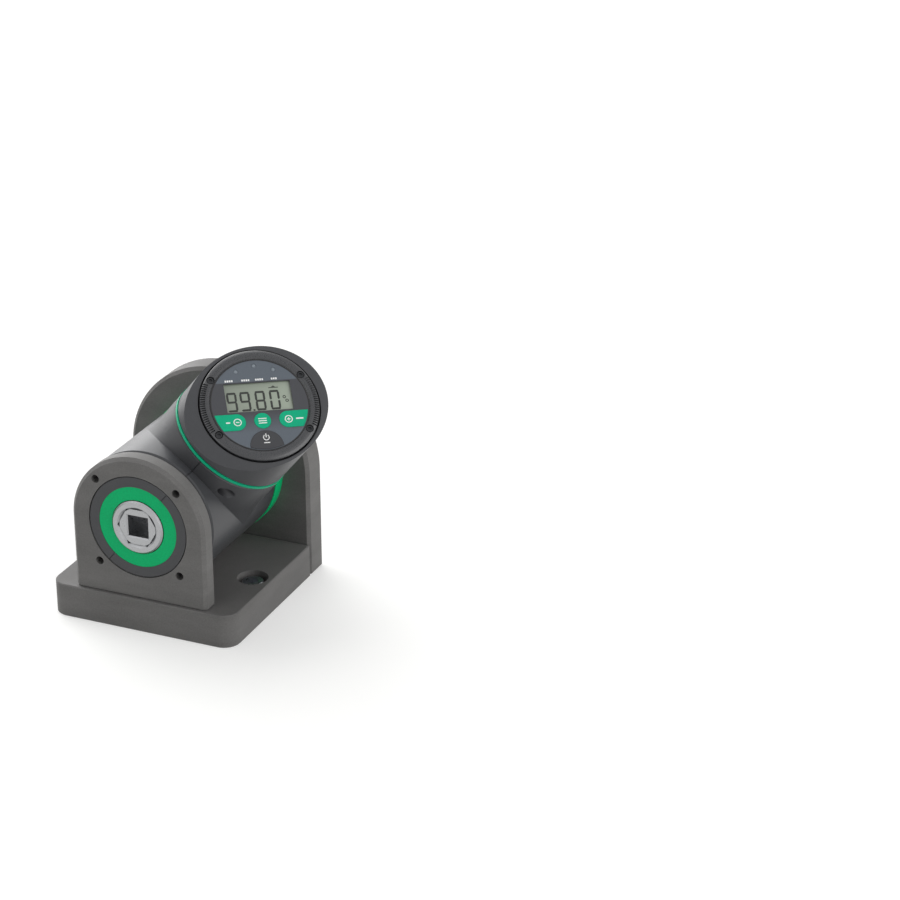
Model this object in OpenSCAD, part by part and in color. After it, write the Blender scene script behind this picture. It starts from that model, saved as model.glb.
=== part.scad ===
// Bench torque tester with a swivelling, slanted display head.
// Origin: centre of the base's underside. X runs across, -Y is the side of the drive socket, Z is up.
// The drum axis runs along Y. The neck stands square on it, and the display face leans towards the front.

/* [Base and plates] */
// Width of the base plate and of the rear plate
base_w = 120; // [114:1:140]
// Length of the base plate, from its front edge to the rear plate
base_l = 103; // [100:1:120]
// Thickness of the base plate
base_t = 20.8; // [19:0.2:26]
// Radius of the base plate's two front corners
base_corner_r = 10; // [4:0.5:14]
// Small bevel on the base plate's edges
base_bevel = 0.6; // [0.3:0.1:1.5]
// Thickness of the rear plate
rear_t = 18; // [17:0.5:24]
// Width of the front plate
front_w = 86; // [84:1:100]
// Thickness of the front plate
front_t = 11.5; // [10:0.5:15]
// Step from the base's front edge to the front plate's face
front_inset = 2.2; // [1:0.1:6]
// Bevel around both standing plates
plate_bevel = 2; // [0.5:0.1:3]
// Gap between the drum and the base plate
drum_gap = 3.1; // [2:0.1:12]
// Radius of the front plate's bore
bore_r = 31.8; // [31:0.1:33]
// Distance of the four front plate holes from the drum axis, across and up
hole_offset = 26.1; // [25.6:0.1:28]
// Radius of the four front plate holes
hole_r = 2.5; // [1.5:0.1:3]

/* [Bench screws] */
// Distance of the bench screws from the base's long edges
bench_edge = 12.5; // [11:0.5:16]
// Radius of the counterbores for the bench screws
bench_bore_r = 9.3; // [8.5:0.1:10]
// Depth of the counterbores for the bench screws
bench_bore_depth = 11.6; // [10.2:0.1:13]
// Thread diameter of the bench screws
bench_screw_d = 8; // [6:1:8]

/* [Drum and neck] */
// Swivel of the housing about the drum axis, from upright
swivel = 39.6; // [-90:0.1:90]
// Outer radius of the drum
drum_r = 42.5; // [41:0.1:44]
// Outer radius of the neck
neck_r = 37.8; // [37.5:0.1:39]
// Height of the neck's top above the drum
neck_rise = 8.7; // [8.5:0.1:16]
// Wall of the housing
housing_wall = 3.2; // [2.5:0.1:4]
// Thickness of the neck's roof, which holds the head's spigot
neck_roof = 4.7; // [3.5:0.1:6]
// Radius of the hollow between neck and drum
flare_r = 60; // [20:5:80]

/* [Core and shaft] */
// Radius of the core's barrel, seen as the green disc in front
barrel_r = 25; // [24.5:0.1:26]
// Step from the drum out to the core's rear flange, seen as the green band
flange_step = 0.5; // [-1:0.1:0.9]
// Thickness of the core's rear flange
flange_t = 8; // [6:0.1:8.6]
// Radius of the shaft's front hub
hub_r = 16.5; // [15.5:0.1:17]
// Radius of the shaft's measuring section
section_r = 8; // [6:0.5:10]
// Distance between the flats of the measuring section
section_flats = 14; // [8:0.5:14]
// Distance across the hexagon between hub and adaptor
drive_hex = 22; // [20:0.5:24]
// Side of the square drive
drive_square = 12.8; // [9.6:0.1:13]
// Depth of the square drive
drive_depth = 17; // [12:0.5:18]

/* [Head] */
// Outer radius of the head
head_r = 37.5; // [37.3:0.1:38.5]
// Turn of the head about the neck, from facing the front
head_turn = -13.3; // [-160:0.1:160]
// Lean of the display face against the neck's axis
face_tilt = 31; // [27:0.5:31]
// Slope of the bevel around the display
rim_slope = 10; // [5:1:14]
// Drop of the bevel's inner edge below the display face
rim_drop = 2; // [0.5:0.1:2.2]
// Thickness of the green ring under the head
ring_t = 1.5; // [1:0.1:2.5]
// Wall of the head
head_wall = 2.5; // [2:0.1:3]

/* [Display] */
// Turn of the display in the head
display_turn = 62.4; // [-160:0.1:160]
// Outer radius of the display insert
display_r = 34.8; // [34.6:0.1:35]
// Gap all round the display insert, seen as a black seam
seam = 1; // [0.6:0.1:1]
// Depth of the display insert
display_depth = 8.6; // [8.6:0.1:9.2]
// Radius of the keypad panel
panel_r = 28.95; // [28.9:0.05:29.2]
// Width of the liquid-crystal window
lcd_w = 38.9; // [30:0.1:40]
// Height of the liquid-crystal window
lcd_h = 18.1; // [12:0.1:18.2]
// Radius of the round key
mode_key_r = 4.85; // [4:0.05:5]
// Radius of the round ends of the side keys
side_key_r = 5.1; // [4:0.05:5.1]
// Radius of the dark key at the bottom
clear_key_r = 9.7; // [8:0.1:9.8]
// Travel of the keys
key_travel = 0.4; // [0.2:0.05:0.45]

/* [Clearances] */
// Radial clearance of turning fits
running_gap = 0.06; // [0.02:0.01:0.1]
// Clearance around fixed round pieces in their seats
seat_gap = 0.05; // [0.02:0.01:0.1]
// Gap between the ends of the drum and its neighbours
side_gap = 0.5; // [0.3:0.1:1]
// Width of the groove along the housing's parting line
groove_w = 0.6; // [0.3:0.1:1]

/* [Hidden] */
$fn = 96;

// One overrun for every cut, and a thickness that stands for all of a half-space
over = 1;
far = 3 * base_w;

plate_colour = [0.34, 0.34, 0.33];
housing_colour = [0.29, 0.30, 0.32];
green = [0.05, 0.60, 0.38];
steel = [0.72, 0.73, 0.75];
black_steel = [0.16, 0.16, 0.17];
rubber = [0.08, 0.08, 0.08];
brass = [0.72, 0.56, 0.26];
board_green = [0.05, 0.35, 0.20];
panel_colour = [0.30, 0.32, 0.34];

// Places along Y, in the part's frame
depth = base_l + rear_t;
front_edge = -depth / 2;
axis_h = base_t + drum_gap + drum_r;
neck_top = drum_r + neck_rise;
flange_r = drum_r + flange_step;
plate_front = front_edge + front_inset;
plate_back = plate_front + front_t;
rear_front = front_edge + base_l;
neck_y = (plate_back + rear_front) / 2;
half_gap = (rear_front - plate_back) / 2;

// Places along the drum axis, measured from the neck
face_y = -half_gap - front_t;
drum_y0 = -half_gap + side_gap;
flange_y0 = half_gap - flange_t;
drum_y1 = flange_y0 - side_gap;
drum_l = drum_y1 - drum_y0;
back_y = half_gap + rear_t;
journal_recess = 0.4;
journal_y0 = face_y + journal_recess;
journal_r = bore_r - running_gap;
journal_relief = 0.6;
journal_relief_l = 1.5;
cover_recess = 0.6;
cover_y0 = face_y + cover_recess;
cover_t = 3;
core_y0 = cover_y0 + cover_t;

// Screws: thread diameter, head radius, head height and hexagon of socket screws, as shares of the thread
head_r_share = 0.81;
head_h_share = 1;
socket_share = 0.75;
socket_depth_share = 0.55;
bore_share = 0.9;

// Bench screws and their washers
washer_t = 1.6;
washer_r = bench_screw_d;
bench_hole_r = bench_screw_d / 2 + 0.06 * bench_screw_d;
bench_screw_end = 0.8;
bench_x = base_w / 2 - bench_edge;
bench_y = front_edge + base_l / 2;

// Step all round the faces where the plates are joined, seen as a dark line
joint_step = 0.8;

// Screws of the plates
front_screw_d = 6;
front_screw_edge = 16;
front_screw_x = front_w / 2 - front_screw_edge;
front_screw_sink = 7;
front_screw_reach = 14;
rear_screw_d = 8;
rear_screw_edge = 16;
rear_screw_x = base_w / 2 - rear_screw_edge;
rear_screw_sink = 8.8;
rear_screw_reach = 22;

// Core, bush, cover and flange
core_bore_r = 19.5;
cover_spigot = 2;
bush_l = 16;
flange_bevel = 0.5;
core_rear_wall = 16;
core_screw_d = 6;
core_screw_pitch_r = 35;
core_screw_sink = 6.8;
core_screw_reach = 6;
core_screw_count = 6;
cover_gap = 0.4;

// Shaft
hub_proud = 1.3;
hub_y0 = cover_y0 - hub_proud;
hub_l = 26;
shaft_cone = 4;
rear_journal_r = 14;
rear_bore_r = rear_journal_r + cover_gap;
shaft_square = 19;
section_y1 = 12;
hex_gap = 0.05;
mouth_r = drive_hex / sqrt(3) + 0.3 * cover_gap;
adaptor_l = 20;
adaptor_recess = 0.8;
adaptor_bevel = 1.2;
square_lead = 0.8;

// Anchor flange
anchor_r = 26;
anchor_t = 9;
anchor_bevel = 0.5;
anchor_screw_d = 5;
anchor_screw_pitch_r = 20.5;
anchor_screw_sink = 5.4;
anchor_screw_reach = 7;
anchor_screw_count = 6;
anchor_screw_start = 180 / anchor_screw_count;
anchor_y0 = back_y - anchor_t;

// Gauges, board, leads and winding
gauge_w = 5;
gauge_l = 9;
gauge_t = 0.2;
gauge_y = -4;
flat_z = 22.2;
board_w = 22;
board_l = 38;
board_t = 1.6;
chip_w = 7;
chip_h = 1.8;
lead_r = 0.9;
winding_r = 28.6;
winding_w = 6.5;
winding_gap = 0.3;
winding_y = flange_y0 - housing_wall - side_gap - winding_w - over;
ring_step = 2.55;
ring_y = core_y0 + ring_step;
ring_section_r = 1;
ring_seat_r = 24;
ring_groove_w = 2.4;

// Housing
edge_bevel = 1;
neck_bevel = 0.6;
groove_depth = 0.5;
spigot_r = 21;
boss_r = 3.9;
housing_screw_d = 4;
housing_screw_seat = 14;
housing_bore_r = 3.3;
housing_screw_reach = 9;
screw_inset = 7.6;
screw_rise = 0.5;
low_screw_inset = 10.65;
low_screw_rise = 8.5;
screw_y = neck_r - screw_inset;
screw_z = drum_r + screw_rise;
low_screw_y = drum_y1 - low_screw_inset;
low_screw_z = low_screw_rise - drum_r;
housing_screw_places = [[-screw_y, screw_z], [screw_y, screw_z],
    [-screw_y, low_screw_z], [low_screw_y, low_screw_z]];
band_gap = 0.4;

// Head, measured along the neck from the drum axis
washer_play = 0.05;
thrust_t = 0.6;
ring_z = neck_top + thrust_t + 2 * washer_play;
head_z = ring_z + ring_t;
head_base_t = 3;
floor_t = 2.5;
pocket_gap = 0.3;
pocket_depth = display_depth + pocket_gap;
pocket_r = display_r + seam;
rim_lip = 0.4;
head_foot = 0.8;
face_d = head_z + head_foot + pocket_r * sin(face_tilt) + (pocket_depth + floor_t) * cos(face_tilt);
ring_r = neck_r + 0.1;
ring_inner_r = 22;
thrust_r = 33;
spigot_wall = 5;
spigot_flange_r = 25;
spigot_flange_t = 3;
roof_gap = 0.3;
head_cavity_r = head_r - head_wall;
head_boss_r = 3.2;
head_boss_pitch_r = head_cavity_r - 3.8;
head_boss_angles = [90, 205, 335];
head_boss_h = 40;
head_screw_d = 3;
head_screw_sink = 1.8;
head_screw_reach = 5.5;
low_head_share = 0.55;

// Battery
battery_size = [36, 8, 18];
battery_y = 17.9;
cradle_wall = 1.2;
cradle_h = 9;

// Display insert: depths are below the face plane
carrier_wall = 1.8;
carrier_floor = 1.6;
bezel_depth = 2.2;
tube_r = 9;
tube_bore_r = 6.5;
tube_end = 15;
clip_t = 1;
clip_r = 12.5;
clip_groove = 0.9;
clip_gap = 0.2;
board_top = 4.6;
pcb_t = 1.4;
ledge_w = 2;
panel_top = 0.7;
panel_t = 0.8;
panel_ledge = 0.5;
window_r = 29.1;
bezel_lip = 0.45;
ridge_r = 30.6;
crown_drop = 1;
crown_sweep = 75;
crown_steps = 4;
rib_inner_r = 31.8;
rib_w = 0.75;
rib_depth = 1.4;
rib_pitch = 2.4;
rib_count = 23;
lamp_r = 1.15;
lamp_gap = 0.1;
lamp_places = [[-11, 21.9], [0, 24.9], [11, 21.9]];
lamp_top = 0.6;
lcd_y = 5.25;
lcd_top = 2;
lcd_margin_x = 2.5;
lcd_margin_top = 2.2;
lcd_margin_bottom = 0.4;
lcd_t = 2.5;
bezel_screw_x = 26.5;
bezel_screw_y = 17.2;
bezel_screw_d = 2;
bezel_screw_sink = 1.7;
bezel_screw_head_r = 2.05;
bezel_screw_head_h = 1.2;
bezel_screw_bore_r = 2.4;
bezel_screw_reach = 4;
bezel_boss_r = 2.7;

// Keys
key_proud = 0.15;
key_gap = 0.15;
key_flange = 0.4;
key_flange_t = 0.8;
key_hang = 0.1;
key_stem_end = 3.3;
key_row_y = -10.05;
side_key_x = 14.9;
key_field_r = 27.8;
clear_key_y = -25.9;
clear_key_slot = 0.4;
dome_r = 2.4;
dome_h = 0.7;

// Frames of the moving groups

module at_axis() translate([0, neck_y, axis_h]) children();

module at_housing() at_axis() rotate([0, swivel, 0]) children();

module at_head() at_housing() rotate([0, 0, head_turn]) children();

module at_face() translate([0, 0, face_d]) rotate([face_tilt, 0, 0]) children();

module at_display() at_head() at_face() rotate([0, 0, display_turn]) children();

module along_y(y) translate([0, y, 0]) rotate([-90, 0, 0]) children();

module along_x(x) translate([x, 0, 0]) rotate([0, 90, 0]) children();

// Common shapes

module tube(r_out, r_in, h) {
    difference() {
        cylinder(r = r_out, h = h);
        translate([0, 0, -over]) cylinder(r = r_in, h = h + 2 * over);
    }
}

module bevelled_disc(r, h, bevel_low, bevel_high) {
    rotate_extrude() polygon([[0, 0], [r - bevel_low, 0], [r, bevel_low], [r, h - bevel_high],
        [r - bevel_high, h], [0, h]]);
}

module bevelled_rectangle(w, h, b) {
    polygon([[b - w / 2, 0], [w / 2 - b, 0], [w / 2, b], [w / 2, h - b], [w / 2 - b, h],
        [b - w / 2, h], [-w / 2, h - b], [-w / 2, b]]);
}

module hexagon(across) circle(r = across / sqrt(3), $fn = 6);

// Socket screw with its seat at z = 0: the head stands above and the thread below
module socket_screw(d, reach) {
    difference() {
        bevelled_disc(d * head_r_share, d * head_h_share, 0, d * 0.08);
        translate([0, 0, d * (head_h_share - socket_depth_share)])
            linear_extrude(d) hexagon(d * socket_share);
    }
    translate([0, 0, -reach]) cylinder(r = d / 2, h = reach + d * 0.1);
}

// Flat-headed screw for a shallow counterbore
module low_screw(d, head_r, head_h, reach) {
    difference() {
        bevelled_disc(head_r, head_h, 0, head_h * 0.2);
        translate([0, 0, head_h * 0.4]) linear_extrude(head_h) hexagon(head_r);
    }
    translate([0, 0, -reach]) cylinder(r = d / 2, h = reach + head_h * 0.1);
}

// Stepped hole from its mouth at z = 0 down: counterbore, then thread
module stepped_hole(bore, sink, hole, reach) {
    translate([0, 0, -sink]) cylinder(r = bore, h = sink + over);
    translate([0, 0, -sink - reach - seat_gap]) cylinder(r = hole, h = reach + sink);
}

// Standing plate with a round top about the drum axis, bevelled all round
module arch_plate(w, t, low) {
    intersection() {
        along_y(0) bevelled_disc(w / 2, t, plate_bevel, plate_bevel);
        translate([-far / 2, -over, low]) cube([far, t + 2 * over, far]);
    }
    translate([0, joint_step, low]) linear_extrude(-low)
        bevelled_rectangle(w - 2 * joint_step, t - 2 * joint_step, plate_bevel);
    translate([0, 0, low + joint_step]) linear_extrude(-low - joint_step)
        bevelled_rectangle(w, t, plate_bevel);
}

module ring_of(count, r, start = 0) {
    for (i = [0 : count - 1]) rotate([0, 0, start + i * 360 / count]) translate([r, 0, 0]) children();
}

// Base and plates

module base_blank() {
    side_y = front_edge + base_corner_r;
    translate([0, rear_front - joint_step, 0]) rotate([90, 0, 0])
        linear_extrude(rear_front - joint_step - side_y) bevelled_rectangle(base_w, base_t, base_bevel);
    translate([0, rear_front, joint_step]) rotate([90, 0, 0]) linear_extrude(rear_front - side_y)
        bevelled_rectangle(base_w - 2 * joint_step, base_t - 2 * joint_step, base_bevel);
    translate([base_corner_r - base_w / 2, front_edge, 0]) rotate([90, 0, 90])
        linear_extrude(base_w - 2 * base_corner_r)
        polygon([[base_bevel, 0], [base_corner_r + over, 0], [base_corner_r + over, base_t],
            [base_bevel, base_t], [0, base_t - base_bevel], [0, base_bevel]]);
    for (side = [-1, 1]) translate([side * (base_w / 2 - base_corner_r), side_y, 0])
        bevelled_disc(base_corner_r, base_t, base_bevel, base_bevel);
}

module base_plate() {
    color(plate_colour) difference() {
        base_blank();
        for (side = [-1, 1]) {
            translate([side * bench_x, bench_y, base_t])
                stepped_hole(bench_bore_r, bench_bore_depth, bench_hole_r, base_t);
            translate([side * front_screw_x, (plate_front + plate_back) / 2, 0]) mirror([0, 0, 1])
                stepped_hole(front_screw_d * bore_share, front_screw_sink,
                    front_screw_d / 2 + seat_gap, base_t);
        }
        for (side = [-1, 0, 1]) translate([side * rear_screw_x, rear_front + rear_t, base_t / 2])
            rotate([-90, 0, 0])
            stepped_hole(rear_screw_d * bore_share, rear_screw_sink, rear_screw_d / 2 + seat_gap,
                rear_t - rear_screw_sink + rear_screw_reach);
    }
}

module front_plate() {
    color(plate_colour) difference() {
        translate([0, plate_front, axis_h]) arch_plate(front_w, front_t, base_t - axis_h);
        at_axis() along_y(face_y - over) cylinder(r = bore_r, h = front_t + 2 * over);
        for (sx = [-1, 1], sz = [-1, 1])
            translate([sx * hole_offset, plate_front - over, axis_h + sz * hole_offset])
            rotate([-90, 0, 0]) cylinder(r = hole_r, h = front_t + 2 * over);
        for (side = [-1, 1]) translate([side * front_screw_x, (plate_front + plate_back) / 2, 0])
            cylinder(r = front_screw_d / 2 + seat_gap, h = base_t + front_screw_reach + seat_gap);
    }
}

module rear_plate() {
    color(plate_colour) difference() {
        translate([0, rear_front, axis_h]) arch_plate(base_w, rear_t, -axis_h);
        at_axis() {
            along_y(half_gap - over) cylinder(r = rear_bore_r, h = rear_t + 2 * over);
            along_y(anchor_y0 - seat_gap) cylinder(r = anchor_r + seat_gap, h = rear_t);
            along_y(back_y) ring_of(core_screw_count, core_screw_pitch_r)
                stepped_hole(core_screw_d * bore_share, core_screw_sink, core_screw_d / 2 + seat_gap,
                    rear_t);
            along_y(anchor_y0) ring_of(anchor_screw_count, anchor_screw_pitch_r, anchor_screw_start)
                translate([0, 0, -anchor_screw_reach - seat_gap])
                cylinder(r = anchor_screw_d / 2 + seat_gap, h = anchor_screw_reach + over);
        }
        for (side = [-1, 0, 1]) translate([side * rear_screw_x, rear_front + rear_t, base_t / 2])
            rotate([-90, 0, 0])
            stepped_hole(rear_screw_d * bore_share, rear_screw_sink, rear_screw_d / 2 + seat_gap, rear_t);
    }
}

module bench_screws() {
    color(black_steel) for (side = [-1, 1])
        translate([side * bench_x, bench_y, base_t - bench_bore_depth + washer_t])
        socket_screw(bench_screw_d, base_t - bench_bore_depth + washer_t - bench_screw_end);
}

module bench_washers() {
    color(steel) for (side = [-1, 1]) translate([side * bench_x, bench_y, base_t - bench_bore_depth])
        tube(washer_r, bench_hole_r, washer_t);
}

module front_plate_screws() {
    color(black_steel) for (side = [-1, 1])
        translate([side * front_screw_x, (plate_front + plate_back) / 2, front_screw_sink])
        mirror([0, 0, 1]) socket_screw(front_screw_d, base_t - front_screw_sink + front_screw_reach);
}

module rear_plate_screws() {
    color(black_steel) for (side = [-1, 0, 1])
        translate([side * rear_screw_x, rear_front + rear_t - rear_screw_sink, base_t / 2])
        rotate([-90, 0, 0])
        socket_screw(rear_screw_d, rear_t - rear_screw_sink + rear_screw_reach);
}

// Core and shaft

module core_body() {
    color(green) at_axis() difference() {
        union() {
            along_y(core_y0) cylinder(r = barrel_r, h = flange_y0 - core_y0 + over);
            along_y(flange_y0) bevelled_disc(flange_r, flange_t, flange_bevel, 0);
        }
        along_y(core_y0 - over)
            cylinder(r = core_bore_r, h = half_gap - core_rear_wall - core_y0 + over);
        along_y(0) cylinder(r = rear_journal_r + running_gap, h = half_gap + over);
        along_y(ring_y - ring_groove_w / 2)
            tube(barrel_r + over, ring_seat_r - ring_section_r - seat_gap, ring_groove_w);
        translate([-board_w / 2 - over, gauge_y - board_l / 2 - over, flat_z])
            cube([board_w + 2 * over, board_l + 2 * over, barrel_r]);
        translate([0, gauge_y, 0]) cylinder(r = lead_r + lead_r, h = barrel_r + over);
        along_y(flange_y0 + flange_t - core_screw_reach - seat_gap)
            ring_of(core_screw_count, core_screw_pitch_r)
            cylinder(r = core_screw_d / 2 + seat_gap, h = flange_t);
    }
}

module front_cover() {
    color(green) at_axis() difference() {
        union() {
            along_y(cover_y0) cylinder(r = barrel_r, h = cover_t);
            along_y(cover_y0) cylinder(r = core_bore_r - seat_gap, h = cover_t + cover_spigot);
        }
        along_y(cover_y0 - over) cylinder(r = hub_r + cover_gap, h = cover_t + cover_spigot + 2 * over);
    }
}

module core_screws() {
    color(black_steel) at_axis() along_y(back_y - core_screw_sink)
        ring_of(core_screw_count, core_screw_pitch_r)
        socket_screw(core_screw_d, rear_t - core_screw_sink + core_screw_reach);
}

module torque_shaft() {
    hub_end = hub_y0 + hub_l;
    color(steel) at_axis() difference() {
        union() {
            along_y(hub_y0) rotate_extrude() polygon([[0, 0], [hub_r - edge_bevel, 0],
                [hub_r, edge_bevel], [hub_r, hub_l], [section_r, hub_l + shaft_cone],
                [section_r, section_y1 - hub_y0], [rear_journal_r, section_y1 + shaft_cone - hub_y0],
                [rear_journal_r, anchor_y0 - side_gap - hub_y0], [0, anchor_y0 - side_gap - hub_y0]]);
            translate([-shaft_square / 2, half_gap, -shaft_square / 2])
                cube([shaft_square, rear_t - side_gap, shaft_square]);
        }
        along_y(hub_y0 - over) linear_extrude(adaptor_recess + adaptor_l + side_gap + over)
            hexagon(drive_hex + 2 * hex_gap);
        along_y(hub_y0 - over) cylinder(r1 = mouth_r + over, r2 = drive_hex / 2 - over,
            h = mouth_r - drive_hex / 2 + 2 * over);
        for (side = [-1, 1]) translate([-section_r, hub_end + shaft_cone,
                side * (section_flats / 2 + section_r / 2) - section_r / 2])
            cube([2 * section_r, section_y1 - hub_end - shaft_cone, section_r]);
    }
}

module shaft_bush() {
    color(brass) at_axis() along_y(core_y0 + cover_spigot + seat_gap)
        tube(core_bore_r - seat_gap, hub_r + running_gap, bush_l);
}

module square_adaptor() {
    lead_w = drive_square + 2 * square_lead;
    color(steel) at_axis() along_y(hub_y0 + adaptor_recess) difference() {
        intersection() {
            linear_extrude(adaptor_l) hexagon(drive_hex);
            bevelled_disc(mouth_r, adaptor_l, adaptor_bevel, adaptor_bevel);
        }
        translate([-drive_square / 2, -drive_square / 2, -over])
            cube([drive_square, drive_square, drive_depth + over]);
        hull() {
            translate([-lead_w / 2, -lead_w / 2, -over]) cube([lead_w, lead_w, over]);
            translate([-drive_square / 2, -drive_square / 2, 0])
                cube([drive_square, drive_square, square_lead]);
        }
    }
}

module anchor_flange() {
    color(black_steel) at_axis() difference() {
        along_y(anchor_y0) bevelled_disc(anchor_r, anchor_t - side_gap, 0, anchor_bevel);
        translate([-shaft_square / 2 - hex_gap, anchor_y0 - over, -shaft_square / 2 - hex_gap])
            cube([shaft_square + 2 * hex_gap, anchor_t + 2 * over, shaft_square + 2 * hex_gap]);
        along_y(back_y - side_gap) ring_of(anchor_screw_count, anchor_screw_pitch_r, anchor_screw_start)
            stepped_hole(anchor_screw_d * bore_share, anchor_screw_sink - side_gap,
                anchor_screw_d / 2 + seat_gap, anchor_t);
    }
}

module anchor_screws() {
    color(steel) at_axis() along_y(back_y - anchor_screw_sink)
        ring_of(anchor_screw_count, anchor_screw_pitch_r, anchor_screw_start)
        socket_screw(anchor_screw_d, anchor_t - anchor_screw_sink + anchor_screw_reach);
}

module strain_gauges() {
    color(brass) at_axis() for (side = [-1, 1], place = [-1, 1])
        translate([-gauge_w / 2, gauge_y + place * gauge_l * 0.7 - gauge_l / 2,
            side * (section_flats / 2 + gauge_t / 2) - gauge_t / 2])
        cube([gauge_w, gauge_l, gauge_t]);
}

module amplifier_board() {
    color(board_green) at_axis() translate([0, gauge_y, flat_z]) {
        translate([-board_w / 2, -board_l / 2, 0]) cube([board_w, board_l, board_t]);
        for (place = [-1, 1]) translate([-chip_w / 2, place * board_l / 4 - chip_w / 2, board_t])
            cube([chip_w, chip_w, chip_h]);
    }
}

module gauge_leads() {
    color("firebrick") at_axis() translate([0, gauge_y, section_flats / 2])
        cylinder(r = lead_r, h = flat_z - section_flats / 2);
}

module lead_winding() {
    color(rubber) at_axis() along_y(winding_y) tube(winding_r, barrel_r + winding_gap, winding_w);
}

module swivel_ring() {
    color(rubber) at_axis() along_y(ring_y) rotate_extrude()
        translate([ring_seat_r, 0]) circle(r = ring_section_r, $fn = 48);
}

// Housing: two half shells parted through the drum axis and the neck

module housing_outer(inset = 0) {
    flare_z = sqrt(pow(drum_r + flare_r, 2) - pow(neck_r + flare_r, 2));
    flare_low = atan2(flare_z, neck_r + flare_r);
    steps = 8;
    along_y(drum_y0 + inset)
        bevelled_disc(drum_r - inset, drum_l - 2 * inset, edge_bevel, edge_bevel);
    along_y(journal_y0 + inset) cylinder(r = journal_r - journal_relief, h = 2 * journal_relief_l);
    along_y(journal_y0 + journal_relief_l)
        cylinder(r = journal_r, h = drum_y0 - journal_y0 - journal_relief_l + edge_bevel + inset);
    bevelled_disc(neck_r - inset, neck_top - inset, 0, neck_bevel);
    rotate_extrude() polygon(concat([[0, flare_z]],
        [for (i = [0 : steps]) let (a = flare_low * i / steps)
            [neck_r + flare_r - inset - flare_r * cos(a), flare_z - flare_r * sin(a)]],
        [[0, flare_z - flare_r * sin(flare_low)]]));
}

module housing_shell() {
    cavity_r = drum_r - housing_wall;
    neck_cavity_r = neck_r - housing_wall;
    difference() {
        union() {
            difference() {
                housing_outer();
                along_y(drum_y0 + housing_wall)
                    cylinder(r = cavity_r, h = drum_l - 2 * housing_wall);
                cylinder(r = neck_cavity_r, h = neck_top - neck_roof);
            }
            intersection() {
                housing_outer();
                for (place = housing_screw_places) translate([0, place[0], place[1]])
                    along_x(-drum_r) cylinder(r = boss_r, h = 2 * drum_r);
            }
        }
        along_y(journal_y0 - over)
            cylinder(r = barrel_r + running_gap, h = drum_y1 - journal_y0 + 3 * over);
        along_y(drum_y1) cylinder(r = flange_r + band_gap, h = neck_r);
        along_y(winding_y - winding_gap)
            cylinder(r = winding_r + winding_gap, h = winding_w + 2 * winding_gap);
        translate([0, 0, neck_top - neck_roof - over])
            cylinder(r = spigot_r + running_gap, h = neck_roof + 2 * over);
    }
}

module parting_groove() {
    difference() {
        translate([-groove_w / 2, -far / 2, -far / 2]) cube([groove_w, far, far]);
        housing_outer(groove_depth);
    }
}

module housing_half(side) {
    difference() {
        housing_shell();
        translate([side > 0 ? -far : -seat_gap, -far / 2, -far / 2]) cube([far + seat_gap, far, far]);
        parting_groove();
        for (place = housing_screw_places) translate([0, place[0], place[1]]) {
            along_x(0) translate([0, 0, -housing_screw_reach - seat_gap])
                cylinder(r = housing_screw_d / 2 + seat_gap, h = drum_r);
            along_x(housing_screw_seat) cylinder(r = housing_bore_r, h = drum_r);
        }
    }
}

module housing_upper() color(housing_colour) at_housing() housing_half(-1);

module housing_lower() color(housing_colour) at_housing() housing_half(1);

module housing_screws() {
    color(black_steel) at_housing() for (place = housing_screw_places)
        translate([housing_screw_seat, place[0], place[1]]) rotate([0, 90, 0])
        low_screw(housing_screw_d, housing_bore_r - side_gap / 2, housing_screw_d * low_head_share,
            housing_screw_seat + housing_screw_reach);
}

// The cable runs from the winding to the middle of the neck and up through the spigot
cable_r = 1.4;
cable_points = [[0, 24, 30.8], [0, 12, 35], [0, 3, 37.5], [0, 0, 41], [0, 0, 58]];
bend_share = 1.4;

module rounded_path(points, r) {
    for (i = [0 : len(points) - 2]) let (d = points[i + 1] - points[i], l = norm(d))
        translate(points[i]) rotate([0, acos(d[2] / l), atan2(d[1], d[0])])
        cylinder(r = r, h = l, $fn = 24);
    for (i = [1 : len(points) - 2]) translate(points[i]) sphere(r = r * bend_share, $fn = 24);
}

module signal_cable() color(rubber) at_housing() rounded_path(cable_points, cable_r);

plug_r = 3;
plug_h = 4;
cable_top = cable_points[len(cable_points) - 1][2];

module cable_plug() {
    color("ivory") at_housing() translate([0, 0, cable_top]) cylinder(r = plug_r, h = plug_h);
}

// Head

module face_side(below) {
    translate([-far / 2, -far / 2, -below - far]) cube([far, far, far]);
}

module head_outer() {
    rim_r = pocket_r + rim_lip;
    far_drop = rim_drop + (far / 4 - rim_r) * tan(rim_slope);
    intersection() {
        translate([0, 0, head_z]) bevelled_disc(head_r, face_d, neck_bevel, 0);
        at_face() rotate_extrude() polygon([[0, -rim_drop], [rim_r, -rim_drop], [far / 4, -far_drop],
            [far / 4, -far / 2], [0, -far / 2]]);
    }
}

module head_bosses() {
    for (a = head_boss_angles) rotate([0, 0, a])
        translate([head_boss_pitch_r, 0, head_z + head_base_t + seat_gap]) children();
}

module head_shell() {
    color(housing_colour) at_head() difference() {
        union() {
            difference() {
                head_outer();
                intersection() {
                    translate([0, 0, head_z - over]) cylinder(r = head_cavity_r, h = far);
                    at_face() face_side(pocket_depth + floor_t);
                }
            }
            intersection() {
                head_outer();
                head_bosses() cylinder(r = head_boss_r, h = head_boss_h);
            }
        }
        at_face() translate([0, 0, -pocket_depth]) cylinder(r = pocket_r, h = far);
        at_face() translate([0, 0, -pocket_depth - floor_t - over])
            cylinder(r = tube_r + running_gap, h = floor_t + 2 * over);
        head_bosses() translate([0, 0, -over])
            cylinder(r = head_screw_d / 2 + seat_gap, h = head_screw_reach + over + seat_gap);
    }
}

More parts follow.
